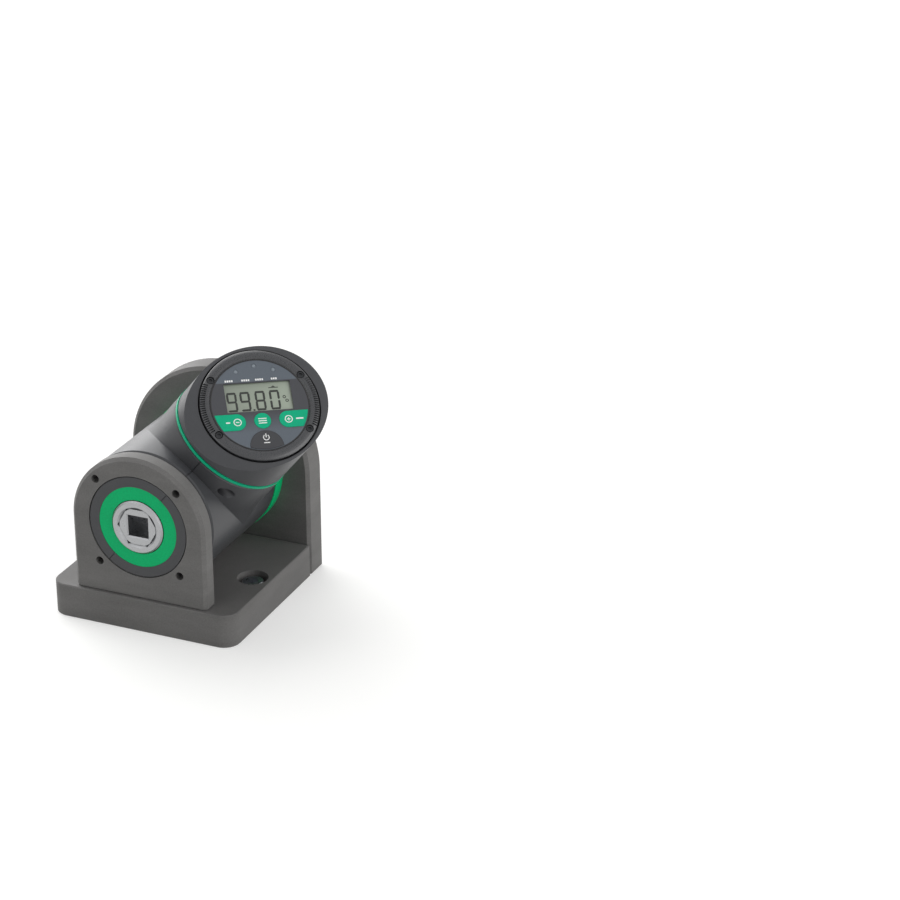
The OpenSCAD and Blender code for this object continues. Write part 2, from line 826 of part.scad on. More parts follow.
module head_base() {
    spigot_low = neck_top - neck_roof - roof_gap - spigot_flange_t;
    color(housing_colour) at_head() difference() {
        union() {
            intersection() {
                translate([0, 0, head_z]) cylinder(r = head_cavity_r - seat_gap, h = head_base_t);
                at_face() face_side(pocket_depth + floor_t + 2 * seat_gap);
            }
            translate([0, 0, spigot_low]) cylinder(r = spigot_r, h = head_z + over - spigot_low);
            translate([0, 0, spigot_low]) cylinder(r = spigot_flange_r, h = spigot_flange_t);
        }
        translate([0, 0, spigot_low - over]) cylinder(r = spigot_r - spigot_wall, h = far / 4);
        head_bosses() translate([0, 0, -seat_gap - head_base_t]) mirror([0, 0, 1])
            stepped_hole(head_screw_d, head_screw_sink, head_screw_d / 2 + seat_gap, head_base_t);
    }
}

module head_base_screws() {
    color(black_steel) at_head() head_bosses()
        translate([0, 0, head_screw_sink - head_base_t - seat_gap]) mirror([0, 0, 1])
        low_screw(head_screw_d, head_screw_d - side_gap / 2, head_screw_d * low_head_share,
            head_base_t - head_screw_sink + head_screw_reach);
}

module head_ring() {
    color(green) at_head() translate([0, 0, ring_z]) tube(ring_r, ring_inner_r, ring_t);
}

module thrust_washer() {
    color("ivory") at_head() translate([0, 0, neck_top + washer_play])
        tube(thrust_r, ring_inner_r, thrust_t);
}

module battery_cradle() {
    border = 2 * (cradle_wall + seat_gap);
    outer = [battery_size[0] + border, battery_size[1] + border];
    color(rubber) at_head()
        translate([-outer[0] / 2, battery_y - cradle_wall - seat_gap, head_z + head_base_t]) difference() {
        cube([outer[0], outer[1], cradle_h]);
        translate([cradle_wall, cradle_wall, cradle_wall])
            cube([outer[0] - 2 * cradle_wall, outer[1] - 2 * cradle_wall, cradle_h]);
    }
}

module battery_pack() {
    color("royalblue") at_head()
        translate([-battery_size[0] / 2, battery_y, head_z + head_base_t + cradle_wall + seat_gap])
        cube(battery_size);
}

// The lead climbs from the plug on the neck's axis to the display's axis
module display_lead() {
    start = cable_top + plug_h + lead_r;
    tube_mouth = tube_end - over / 2;
    tube_top = display_depth - carrier_floor + board_top / 8;
    points = [[0, 0, start],
        [0, tube_mouth * sin(face_tilt), face_d - tube_mouth * cos(face_tilt)],
        [0, tube_top * sin(face_tilt), face_d - tube_top * cos(face_tilt)]];
    color(rubber) at_head() rounded_path(points, lead_r);
}

// Display insert

module bezel_screw_places() {
    for (sx = [-1, 1], sy = [-1, 1]) translate([sx * bezel_screw_x, sy * bezel_screw_y, 0]) children();
}

module display_carrier() {
    color(housing_colour) at_display() difference() {
        union() {
            difference() {
                translate([0, 0, -display_depth])
                    cylinder(r = display_r, h = display_depth - bezel_depth);
                translate([0, 0, carrier_floor - display_depth])
                    cylinder(r = display_r - carrier_wall - ledge_w, h = display_depth);
                translate([0, 0, -board_top - pcb_t])
                    cylinder(r = display_r - carrier_wall, h = display_depth);
            }
            intersection() {
                translate([0, 0, -display_depth])
                    cylinder(r = display_r, h = display_depth - bezel_depth);
                bezel_screw_places() translate([0, 0, -display_depth])
                    cylinder(r = bezel_boss_r, h = display_depth - bezel_depth);
            }
            translate([0, 0, -tube_end]) cylinder(r = tube_r, h = tube_end - display_depth + over);
        }
        translate([0, 0, -tube_end - over]) cylinder(r = tube_bore_r, h = tube_end);
        translate([0, 0, -pocket_depth - floor_t - clip_gap - clip_t - seat_gap])
            tube(tube_r + over, tube_r - clip_groove, clip_t + 2 * seat_gap);
        bezel_screw_places() translate([0, 0, -bezel_screw_sink - bezel_screw_reach - seat_gap])
            cylinder(r = bezel_screw_d / 2 + seat_gap, h = display_depth);
    }
}

module display_clip() {
    color(steel) at_display() translate([0, 0, -pocket_depth - floor_t - clip_gap - clip_t])
        difference() {
        tube(clip_r, tube_r - clip_groove + seat_gap, clip_t);
        translate([0, -clip_t, -over]) cube([clip_r + over, 2 * clip_t, clip_t + 2 * over]);
    }
}

module circuit_board() {
    color(board_green) at_display() difference() {
        translate([0, 0, -board_top - pcb_t]) cylinder(r = display_r - carrier_wall - seat_gap, h = pcb_t);
        bezel_screw_places() translate([0, 0, -display_depth])
            cylinder(r = bezel_boss_r + seat_gap, h = display_depth);
    }
}

module key_domes() {
    color(steel) at_display() translate([0, 0, -board_top])
        for (place = [[-side_key_x, key_row_y], [0, key_row_y], [side_key_x, key_row_y],
            [clear_key_slot, clear_key_y + dome_r]])
        translate(place) bevelled_disc(dome_r, dome_h, 0, dome_h * 0.6);
}

module lcd_module() {
    w = lcd_w + 2 * lcd_margin_x;
    h = lcd_h + lcd_margin_top + lcd_margin_bottom;
    color([0.71, 0.74, 0.65]) at_display()
        translate([-w / 2, lcd_y - lcd_h / 2 - lcd_margin_bottom, -lcd_top - lcd_t]) cube([w, h, lcd_t]);
}

module status_lamps() {
    color([0.55, 0.58, 0.60]) at_display() for (place = lamp_places)
        translate([place[0], place[1], -board_top])
        bevelled_disc(lamp_r, board_top - lamp_top, 0, lamp_r / 4);
}

// Key outlines, each grown by g on all sides
module side_key_outline(g) {
    intersection() {
        circle(r = key_field_r + g);
        union() {
            translate([-side_key_x, key_row_y]) circle(r = side_key_r + g);
            translate([-side_key_x - display_r, key_row_y - side_key_r - g])
                square([display_r, 2 * (side_key_r + g)]);
        }
    }
}

module mode_key_outline(g) translate([0, key_row_y]) circle(r = mode_key_r + g);

module clear_key_outline(g) {
    intersection() {
        circle(r = key_field_r + g);
        translate([clear_key_slot, clear_key_y]) circle(r = clear_key_r + g);
    }
}

module key_body() {
    translate([0, 0, -key_stem_end]) linear_extrude(key_stem_end - panel_top + key_proud)
        children(0);
    translate([0, 0, -panel_top - panel_t - key_hang - key_flange_t]) linear_extrude(key_flange_t)
        children(1);
}

module display_panel() {
    color(panel_colour) at_display() difference() {
        translate([0, 0, -panel_top - panel_t]) cylinder(r = panel_r, h = panel_t);
        translate([-lcd_w / 2, lcd_y - lcd_h / 2, -display_depth]) cube([lcd_w, lcd_h, display_depth]);
        for (place = lamp_places) translate([place[0], place[1], -display_depth])
            cylinder(r = lamp_r + lamp_gap, h = display_depth);
        translate([0, 0, -display_depth]) linear_extrude(display_depth) {
            side_key_outline(key_gap);
            mirror([1, 0]) side_key_outline(key_gap);
            mode_key_outline(key_gap);
            clear_key_outline(key_gap);
        }
    }
}

// A point of the bezel's rounded top, from its ridge (turn 0) out to its edge (turn crown_sweep)
function crown_point(turn) = [
    ridge_r + (display_r - ridge_r) * sin(turn) / sin(crown_sweep),
    bezel_depth - crown_drop * (1 - cos(turn)) / (1 - cos(crown_sweep))];

module display_bezel() {
    crown = [for (i = [crown_steps : -1 : 0]) crown_point(i * crown_sweep / crown_steps)];
    color(housing_colour) at_display() difference() {
        translate([0, 0, -bezel_depth]) rotate_extrude() polygon(concat(
            [[window_r - 2 * panel_ledge + panel_ledge / 2, 0],
            [display_r, 0]],
            crown,
            [[window_r + bezel_lip, bezel_depth - bezel_lip / 3],
            [window_r, bezel_depth - panel_top],
            [window_r, bezel_depth - panel_top - panel_t],
            [window_r - panel_ledge - panel_ledge / 2, bezel_depth - panel_top - panel_t]]));
        for (side = [0, 180], i = [0 : rib_count - 1])
            rotate([0, 0, side + (i - (rib_count - 1) / 2) * rib_pitch])
            translate([rib_inner_r, -rib_w / 2, -rib_depth]) cube([display_r, rib_w, rib_depth + over]);
        bezel_screw_places() stepped_hole(bezel_screw_bore_r, bezel_screw_sink,
            bezel_screw_d / 2 + seat_gap, bezel_depth);
    }
}

module bezel_screws() {
    color(black_steel) at_display() bezel_screw_places() translate([0, 0, -bezel_screw_sink])
        low_screw(bezel_screw_d, bezel_screw_head_r, bezel_screw_head_h, bezel_screw_reach);
}

module left_key() {
    color(green) at_display() key_body() {
        side_key_outline(0);
        side_key_outline(key_flange);
    }
}

module right_key() {
    color(green) at_display() mirror([1, 0, 0]) key_body() {
        side_key_outline(0);
        side_key_outline(key_flange);
    }
}

module mode_key() {
    color(green) at_display() key_body() {
        mode_key_outline(0);
        mode_key_outline(key_flange);
    }
}

module clear_key() {
    color(rubber) at_display() key_body() {
        clear_key_outline(0);
        clear_key_outline(key_flange);
    }
}

base_plate();
front_plate();
rear_plate();
bench_screws();
bench_washers();
front_plate_screws();
rear_plate_screws();
core_body();
front_cover();
core_screws();
torque_shaft();
shaft_bush();
square_adaptor();
anchor_flange();
anchor_screws();
strain_gauges();
amplifier_board();
gauge_leads();
lead_winding();
swivel_ring();
housing_upper();
housing_lower();
housing_screws();
signal_cable();
cable_plug();
head_shell();
head_base();
head_base_screws();
head_ring();
thrust_washer();
battery_cradle();
battery_pack();
display_lead();
display_carrier();
display_clip();
circuit_board();
key_domes();
lcd_module();
status_lamps();
display_panel();
display_bezel();
bezel_screws();
left_key();
mode_key();
right_key();
clear_key();
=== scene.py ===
"""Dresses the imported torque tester: finishes, printed signs, digits, stage and camera.

Everything is in metres in the part's own frame. The CAD solids stay where the frame puts them.
"""

import bpy
import numpy as np
from mathutils import Matrix, Vector


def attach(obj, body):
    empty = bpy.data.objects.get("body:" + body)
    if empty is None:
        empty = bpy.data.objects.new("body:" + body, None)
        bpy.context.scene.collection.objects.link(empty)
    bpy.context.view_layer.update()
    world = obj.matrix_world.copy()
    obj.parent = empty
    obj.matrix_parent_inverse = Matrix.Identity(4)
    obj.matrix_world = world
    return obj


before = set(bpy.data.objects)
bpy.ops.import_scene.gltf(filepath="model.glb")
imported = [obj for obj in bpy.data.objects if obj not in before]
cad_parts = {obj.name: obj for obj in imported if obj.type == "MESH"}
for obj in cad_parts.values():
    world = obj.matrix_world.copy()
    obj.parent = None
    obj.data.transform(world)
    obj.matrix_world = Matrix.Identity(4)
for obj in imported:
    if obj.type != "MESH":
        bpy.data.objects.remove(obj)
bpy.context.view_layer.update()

bl_info = {
    "name": "Torque tester dresser",
    "version": (1, 0, 0),
    "blender": (4, 5, 0),
    "location": "View3D > Sidebar > Torque tester",
    "description": "Gives the packed torque tester its finishes, printed signs, digits and stage",
    "category": "Object",
}

MM = 0.001

# The display's frame, with the same values as the part's source: millimetres and degrees
NECK_Y = -2.15
AXIS_H = 66.4
SWIVEL = 39.6
HEAD_TURN = -13.3
FACE_TILT = 31.0
DISPLAY_TURN = 62.4
FACE_D = 82.41
LCD_DEPTH = 2.0
PANEL_DEPTH = 0.7
KEY_PROUD = 0.15

# Turned pieces: a point on the axis, and how far the axis is turned from upright
SHAFT_MIDDLE = (0, NECK_Y, AXIS_H)
BENCH_SCREW = (47.5, -9, 0)
LEVEL = (90, 0, 0)
STANDING = (0, 0, 0)

# Prints, in millimetres on the display's face: x to the right of its middle and y up from it
PRINT_T = 0.03
PRINT_GAP = 0.005
# The foil's painted shadow: a black ring at its edge where the bezel would shade it, and how far it blurs
SHADOW_LINE_R = 28.15
SHADOW_LINE_BLUR = 0.15
FOIL_HALF = 30
# Where the foil's dark band fades out below the keys, and its sharp edge over the window
BAND_LOW = (-17, -5)
BAND_HIGH = (14.85, 15.15)

# The window's two ends, across which its painted shade pales to painted light, then its digits: left edges,
# foot and the width of a lit bar
LCD_SHADE_ENDS = (-20, 18)
READING = "9980"
DIGIT_LEFTS = (-18.65, -10.9, -2.0, 6.5)
DIGIT_FOOT = -2.95
SEGMENT_T = 1.3
POINT_ENDS = (-3.95, -2.85)
POINT_TOP = -1.9
ARROW_BAR = ((6.7, 10.75), (12.4, 11.25))
ARROW_HEAD = ((8.2, 11.35), (10.9, 11.35), (9.55, 12.25))
UNIT_RINGS = ((15.2, 4.7), (16.5, 2.3))
UNIT_RING_R = 1.0
UNIT_RING_W = 0.5

# The dashes over the window: each row's left end with its count, then their measures
DASH_ROWS = ((-18.4, 4), (-8.6, 4), (-0.5, 4), (8.8, 3))
DASH_STEP = 1.25
DASH_L = 0.95
DASH_Y = (15.45, 16.65)

# The keys' signs: rings, arms of minus and plus, and the dash at the outer side of each
KEY_ROW_Y = -10.1
KEY_DEPTH = PANEL_DEPTH - KEY_PROUD
LINE_T = 0.6
MINUS_X = -14.65
PLUS_X = 15.3
KEY_RING_R = 2.35
KEY_RING_W = 0.55
ARM_L = 1.0
ARM_GAP = 0.02
SIDE_DASH_T = 0.9
MINUS_DASH = (-21.4, -19.0)
PLUS_DASH = (19.6, 23.9)
LIST_HALF = 2.4
LIST_STEP = 1.4
POWER = (0.5, -20.6)
POWER_RADII = (1.9, 1.4)
# The power ring is open at its top, between these angles
POWER_ARC = (125, 415)
POWER_LINE_L = 2.4
POWER_DASH_HALF = 1.8
POWER_DASH_DROP = 3.3

# Stage: metres, degrees, and strengths in watts per square metre
FLOOR_HALF = 3.0
# What the camera sees added to the lit floor, so that the paper is white where no shadow falls
FLOOR_LIFT = 0.5
WORLD_LIT = 0.24
WORLD_SEEN = 1.0
# Each soft sun has the direction that it shines from, its strength and its width
SUNS = (("upper_left", (-0.55, 0.42, 0.75), 2.3, 60), ("right_hand", (0.95, -0.05, 0.35), 1.45, 50),
        ("front_left", (-0.45, -0.8, 0.35), 0.65, 60), ("left_edge", (-0.8, 0.55, 0.2), 1.1, 45))
CAMERA_PLACE = (0.704276, -1.257857, 0.740135)
CAMERA_AZIMUTH = 23.017
CAMERA_ELEVATION = 24.371


def turn(angle, axis):
    """Rotation matrix about one axis, the angle in degrees."""
    return Matrix.Rotation(np.radians(angle), 4, axis)


def shift(x, y, z):
    """Translation matrix, in millimetres until it is scaled."""
    return Matrix.Translation((x, y, z))


HOUSING = shift(0, NECK_Y, AXIS_H) @ turn(SWIVEL, "Y")
HEAD = HOUSING @ turn(HEAD_TURN, "Z")
DISPLAY = HEAD @ shift(0, 0, FACE_D) @ turn(FACE_TILT, "X") @ turn(DISPLAY_TURN, "Z")


def linear(hex_colour):
    """An sRGB hex string as linear RGBA.

    A channel c up to 0.04045 is divided by 12.92, and any other is (c + 0.055) / 1.055 to the power 2.4.
    """
    srgb = np.array([int(hex_colour[i:i + 2], 16) for i in (1, 3, 5)]) / 255
    low = srgb / 12.92
    high = ((srgb + 0.055) / 1.055) ** 2.4
    return (*np.where(srgb <= 0.04045, low, high), 1.0)


def add_node(tree, kind, settings=None, inputs=None):
    """Adds one node: settings are its properties, and inputs are values or the sockets that feed it.

    An input goes by its name, or by its number where a node has two of one name.
    """
    node = tree.nodes.new(kind)
    for name, value in (settings or {}).items():
        setattr(node, name, value)
    for name, value in (inputs or {}).items():
        if isinstance(value, bpy.types.NodeSocket):
            tree.links.new(value, node.inputs[name])
        else:
            node.inputs[name].default_value = value
    return node


def new_material(name):
    """An empty material with its tree and the object coordinates, in metres."""
    material = bpy.data.materials.new(name)
    material.use_nodes = True
    tree = material.node_tree
    tree.nodes.clear()
    place = add_node(tree, "ShaderNodeTexCoord").outputs["Object"]
    return material, tree, place


def close_material(tree, shader):
    """Links the shader to a fresh output."""
    add_node(tree, "ShaderNodeOutputMaterial", inputs={"Surface": shader.outputs["BSDF"]})


def ramp(tree, factor, stops):
    """A colour ramp from (position, colour) stops."""
    node = add_node(tree, "ShaderNodeValToRGB", inputs={"Fac": factor})
    while len(node.color_ramp.elements) < len(stops):
        node.color_ramp.elements.new(0.5)
    for element, (position, colour) in zip(node.color_ramp.elements, stops):
        element.position = position
        element.color = colour
    return node.outputs["Color"]


def shade(hex_colour, factor):
    """The colour with its linear value scaled."""
    return (*(c * factor for c in linear(hex_colour)[:3]), 1.0)


def coated(name, colour, grain_mm, roughness, bump_mm, mottle=0.08, spread=0.08, specular=0.5,
           streak=(1, 1, 1)):
    """A coated or moulded skin: fine grain of a real size as bump, and faint clouds in colour and gloss.

    The clouds are drawn out along an axis where its share in streak is below 1.
    """
    material, tree, place = new_material(name)
    drawn = add_node(tree, "ShaderNodeMapping", None, {"Vector": place, "Scale": streak}).outputs["Vector"]
    grain = add_node(tree, "ShaderNodeTexNoise", {"noise_dimensions": "3D"},
                     {"Vector": place, "Scale": 1 / (grain_mm * MM), "Detail": 3.0, "Roughness": 0.6})
    cloud = add_node(tree, "ShaderNodeTexNoise", {"noise_dimensions": "3D"},
                     {"Vector": drawn, "Scale": 1 / (18 * MM), "Detail": 6.0, "Roughness": 0.62})
    tint = ramp(tree, cloud.outputs["Fac"],
                [(0.3, shade(colour, 1 - mottle)), (0.7, shade(colour, 1 + mottle))])
    speck = ramp(tree, grain.outputs["Fac"], [(0.35, (0.93, 0.93, 0.93, 1)), (0.65, (1.07, 1.07, 1.07, 1))])
    base = add_node(tree, "ShaderNodeMix", {"data_type": "RGBA", "blend_type": "MULTIPLY"},
                    {"Factor": 1.0, "A": tint, "B": speck})
    gloss = add_node(tree, "ShaderNodeMapRange", None,
                     {"Value": grain.outputs["Fac"], "From Min": 0.3, "From Max": 0.7,
                      "To Min": roughness - spread, "To Max": roughness + spread})
    bump = add_node(tree, "ShaderNodeBump", None,
                    {"Height": grain.outputs["Fac"], "Distance": bump_mm * MM, "Strength": 0.6})
    shader = add_node(tree, "ShaderNodeBsdfPrincipled", None,
                      {"Base Color": base.outputs["Result"], "Roughness": gloss.outputs["Result"],
                       "Normal": bump.outputs["Normal"], "Specular IOR Level": specular})
    close_material(tree, shader)
    return material


def machined(name, colour, roughness, centre, along, line_mm=0.35):
    """Turned or brushed metal: fine rings about an axis through centre, as the lathe leaves them."""
    material, tree, place = new_material(name)
    placed = add_node(tree, "ShaderNodeMapping", {"vector_type": "TEXTURE"},
                      {"Vector": place, "Location": [c * MM for c in centre],
                       "Rotation": [np.radians(a) for a in along]})
    rings = add_node(tree, "ShaderNodeTexWave",
                     {"wave_type": "RINGS", "rings_direction": "Z", "wave_profile": "SIN"},
                     {"Vector": placed.outputs["Vector"], "Scale": 0.3 / (line_mm * MM),
                      "Distortion": 1.2, "Detail": 2.0, "Detail Scale": 0.8})
    wear = add_node(tree, "ShaderNodeTexNoise", None,
                    {"Vector": place, "Scale": 1 / (2 * MM), "Detail": 5.0, "Roughness": 0.7})
    tint = ramp(tree, wear.outputs["Fac"], [(0.3, shade(colour, 0.92)), (0.7, linear(colour))])
    gloss = add_node(tree, "ShaderNodeMapRange", None,
                     {"Value": wear.outputs["Fac"], "From Min": 0.3, "From Max": 0.7,
                      "To Min": roughness - 0.06, "To Max": roughness + 0.1})
    bump = add_node(tree, "ShaderNodeBump", None,
                    {"Height": rings.outputs["Fac"], "Distance": 0.02 * MM, "Strength": 0.5})
    shader = add_node(tree, "ShaderNodeBsdfPrincipled", None,
                      {"Base Color": tint, "Metallic": 1.0, "Roughness": gloss.outputs["Result"],
                       "Normal": bump.outputs["Normal"]})
    close_material(tree, shader)
    return material


def on_display(tree, place):
    """The place in the display's own frame: x across it and y up, in metres from its middle."""
    middle = [v * MM for v in DISPLAY.translation]
    placed = add_node(tree, "ShaderNodeMapping", {"vector_type": "TEXTURE"},
                      {"Vector": place, "Location": middle, "Rotation": DISPLAY.to_euler()})
    return placed.outputs["Vector"]


def panel_foil():
    """Printed polyester foil: matt and blue-grey, dark beside the window and fading down past the keys.

    A painted shadow, a black line, runs round its edge where the bezel stands over it.
    """
    material, tree, place = new_material("printed_polyester_foil")
    placed = on_display(tree, place)
    axis = add_node(tree, "ShaderNodeSeparateXYZ", None, {"Vector": placed})
    spot = add_node(tree, "ShaderNodeMapRange", {"clamp": True},
                    {"Value": axis.outputs["Y"], "From Min": -FOIL_HALF * MM, "From Max": FOIL_HALF * MM})
    field, band = linear(settings().foil_field), linear(settings().foil_band)
    at = [0.5 + y / (2 * FOIL_HALF) for y in BAND_LOW + BAND_HIGH]
    zones = ramp(tree, spot.outputs["Result"], list(zip(at, (field, band, band, field))))
    grain = add_node(tree, "ShaderNodeTexNoise", None,
                     {"Vector": place, "Scale": 1 / (0.35 * MM), "Detail": 2.0})
    speck = ramp(tree, grain.outputs["Fac"], [(0.35, (0.95, 0.95, 0.95, 1)), (0.65, (1.05, 1.05, 1.05, 1))])
    flat = add_node(tree, "ShaderNodeVectorMath", {"operation": "MULTIPLY"},
                    {0: placed, 1: (1, 1, 0)})
    radius = add_node(tree, "ShaderNodeVectorMath", {"operation": "LENGTH"}, {0: flat.outputs["Vector"]})
    # Painted shadow: the foil goes near black outside this radius, standing in for the bezel's shade on it
    shadow_line_mask = add_node(tree, "ShaderNodeMapRange", {"clamp": True},
                   {"Value": radius.outputs["Value"], "From Min": SHADOW_LINE_R * MM,
                    "From Max": (SHADOW_LINE_R + SHADOW_LINE_BLUR) * MM})
    with_shadow_line = add_node(tree, "ShaderNodeMix", {"data_type": "RGBA", "blend_type": "MIX"},
                     {"Factor": shadow_line_mask.outputs["Result"], "A": zones, "B": linear("#111112")})
    base = add_node(tree, "ShaderNodeMix", {"data_type": "RGBA", "blend_type": "MULTIPLY"},
                    {"Factor": 1.0, "A": with_shadow_line.outputs["Result"], "B": speck})
    bump = add_node(tree, "ShaderNodeBump", None,
                    {"Height": grain.outputs["Fac"], "Distance": 0.01 * MM, "Strength": 0.4})
    shader = add_node(tree, "ShaderNodeBsdfPrincipled", None,
                      {"Base Color": base.outputs["Result"], "Roughness": 0.42,
                       "Normal": bump.outputs["Normal"]})
    close_material(tree, shader)
    return material


def lcd_glass():
    """Reflective liquid-crystal glass: grey-green under a smooth gloss, with painted shade at its left end
    and painted light towards its right end.
    """
    material, tree, place = new_material("reflective_lcd_glass")
    axis = add_node(tree, "ShaderNodeSeparateXYZ", None, {"Vector": on_display(tree, place)})
    across = add_node(tree, "ShaderNodeMapRange", {"clamp": True},
                      {"Value": axis.outputs["X"], "From Min": LCD_SHADE_ENDS[0] * MM,
                       "From Max": LCD_SHADE_ENDS[1] * MM})
    # Painted shade and light: the glass is darker at its left end, where the window's edge would shade it,
    # and paler towards its right
    tint = ramp(tree, across.outputs["Result"],
                [(0, shade(settings().lcd_colour, 0.84)), (1, shade(settings().lcd_colour, 1.14))])
    shader = add_node(tree, "ShaderNodeBsdfPrincipled", None,
                      {"Base Color": tint, "Roughness": 0.22, "Coat Weight": 0.6, "Coat Roughness": 0.05})
    close_material(tree, shader)
    return material


def ink(name, colour, roughness=0.5):
    """Screen-printed ink: a thin flat film with the faint unevenness of the mesh it came through."""
    material, tree, place = new_material(name)
    film = add_node(tree, "ShaderNodeTexNoise", None,
                    {"Vector": place, "Scale": 1 / (0.25 * MM), "Detail": 2.0})
    tint = ramp(tree, film.outputs["Fac"], [(0.3, shade(colour, 0.9)), (0.6, linear(colour))])
    shader = add_node(tree, "ShaderNodeBsdfPrincipled", None,
                      {"Base Color": tint, "Roughness": roughness})
    close_material(tree, shader)
    return material


# Shapes: each is a closed outline in millimetres on the display's face, as an array of points.

def arc(cx, cy, r, start, end, count):
    """Points on a circle: centre plus r times (cos a, sin a), a running evenly in degrees."""
    a = np.radians(np.linspace(start, end, count))
    return np.stack([cx + r * np.cos(a), cy + r * np.sin(a)], 1)


def bar(x0, y0, x1, y1):
    """A rectangle, counter-clockwise."""
    return np.array([[x0, y0], [x1, y0], [x1, y1], [x0, y1]], float)


def level_line(cx, cy, half):
    """A level line LINE_T thick about its middle, reaching half its length to either side."""
    return bar(cx - half, cy - LINE_T / 2, cx + half, cy + LINE_T / 2)


def hoop(cx, cy, r, width, count=48):
    """A flat ring as one strip: the outer circle forward and the inner circle back."""
    return ("ring", arc(cx, cy, r, 0, 360, count + 1)[:-1], arc(cx, cy, r - width, 0, 360, count + 1)[:-1])


def seven_segments(digit, x, y, w, h, t):
    """The lit bars of one seven-segment digit, each a hexagon with mitred ends, in a w by h box at x, y."""
    gap = 0.14 * t
    half = t / 2

    def across(cy):
        x0, x1 = x + gap, x + w - gap
        return np.array([[x0, cy], [x0 + half, cy - half], [x1 - half, cy - half],
                         [x1, cy], [x1 - half, cy + half], [x0 + half, cy + half]])

    def upright(cx, y0, y1):
        y0, y1 = y0 + gap, y1 - gap
        return np.array([[cx, y0], [cx + half, y0 + half], [cx + half, y1 - half],
                         [cx, y1], [cx - half, y1 - half], [cx - half, y0 + half]])

    low, mid, top = y + half, y + h / 2, y + h - half
    left, right = x + half, x + w - half
    bars = {"a": across(top), "g": across(mid), "d": across(low), "f": upright(left, mid, top),
            "b": upright(right, mid, top), "e": upright(left, low, mid), "c": upright(right, low, mid)}
    lit = {"0": "abcdef", "8": "abcdefg", "9": "abcdfg"}[digit]
    return [bars[k] for k in lit]


def slabs(name, outlines, z0, z1, material, body):
    """Thin closed slabs on the display, from flat outlines: each is carried from z0 to z1 and capped.

    A ring is the space between two outlines of equal count, so its caps are strips of quads.
    """
    points, faces, start = [], [], 0
    for outline in outlines:
        ring = isinstance(outline, tuple)
        loops = outline[1:] if ring else (outline,)
        n = len(loops[0])
        k = np.arange(n)
        after = (k + 1) % n
        for loop in loops:
            for z in (z0, z1):
                points.append(np.column_stack([loop, np.full(n, z)]))
        low, high = start, start + n
        faces += np.column_stack([low + k, low + after, high + after, high + k]).tolist()
        if ring:
            low_in, high_in = start + 2 * n, start + 3 * n
            faces += np.column_stack([low_in + after, low_in + k, high_in + k, high_in + after]).tolist()
            faces += np.column_stack([high + k, high + after, high_in + after, high_in + k]).tolist()
            faces += np.column_stack([low + after, low + k, low_in + k, low_in + after]).tolist()
            start += 4 * n
        else:
            faces.append((high + k).tolist())
            faces.append((low + k)[::-1].tolist())
            start += 2 * n
    mesh = bpy.data.meshes.new(name)
    mesh.from_pydata((np.concatenate(points) * MM).tolist(), [], faces)
    in_metres = DISPLAY.copy()
    in_metres.translation *= MM
    mesh.transform(in_metres)
    mesh.update()
    piece = bpy.data.objects.new(name, mesh)
    bpy.context.collection.objects.link(piece)
    mesh.materials.append(material)
    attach(piece, body)
    return piece


def finish_node(name, material):
    """Gives a CAD node its finish."""
    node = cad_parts[name]
    node.data.materials.clear()
    node.data.materials.append(material)


class TesterSettings(bpy.types.PropertyGroup):
    """Sizes and colours that a user would change."""

    plate_colour: bpy.props.StringProperty(
        name="Plate colour", description="Colour of the coated plates, as sRGB hex", default="#727170")
    housing_colour: bpy.props.StringProperty(
        name="Housing colour", description="Colour of the moulded housing, as sRGB hex", default="#3f4043")
    insert_colour: bpy.props.StringProperty(
        name="Insert colour", description="Colour of the insert round the display, as sRGB hex",
        default="#37383b")
    green: bpy.props.StringProperty(
        name="Green", description="Colour of the keys and the ring, as sRGB hex", default="#08b183")
    core_green: bpy.props.StringProperty(
        name="Core green", description="Colour of the core, as sRGB hex", default="#00be74")
    foil_field: bpy.props.StringProperty(
        name="Foil field", description="Colour of the foil above the window and below the keys",
        default="#59616a")
    foil_band: bpy.props.StringProperty(
        name="Foil band", description="Colour of the foil beside the window", default="#3b3c41")
    lcd_colour: bpy.props.StringProperty(
        name="Display colour", description="Colour of the unlit display", default="#97a192")
    digit_height: bpy.props.FloatProperty(
        name="Digit height", description="Height of the digits in millimetres", default=12.3,
        min=6.0, max=16.0)
    digit_width: bpy.props.FloatProperty(
        name="Digit width", description="Width of the digits in millimetres", default=6.0,
        min=3.0, max=8.0)
    camera_lens: bpy.props.FloatProperty(
        name="Lens", description="Focal length on a 36 mm sensor", default=107.13, min=20.0, max=300.0,
        subtype="DISTANCE_CAMERA")


def settings():
    """The scene's settings."""
    return bpy.context.scene.tester


class TESTER_OT_plates(bpy.types.Operator):
    """Coats the base and the two standing plates"""

    bl_idname = "tester.plates"
    bl_label = "Plates"

    def execute(self, context):
        # Powder coat over steel: matt, with a fine dry grain and faint level streaks
        # The grain is drawn twice as coarse as it is, to show at a step's distance
        coat = coated("powder_coat_dark_grey", settings().plate_colour, grain_mm=0.9, roughness=0.56,
                      bump_mm=0.04, mottle=0.13, specular=0.18, streak=(0.3, 0.3, 1.2))
        for name in ("base_plate", "front_plate", "rear_plate"):
            finish_node(name, coat)
        return {"FINISHED"}


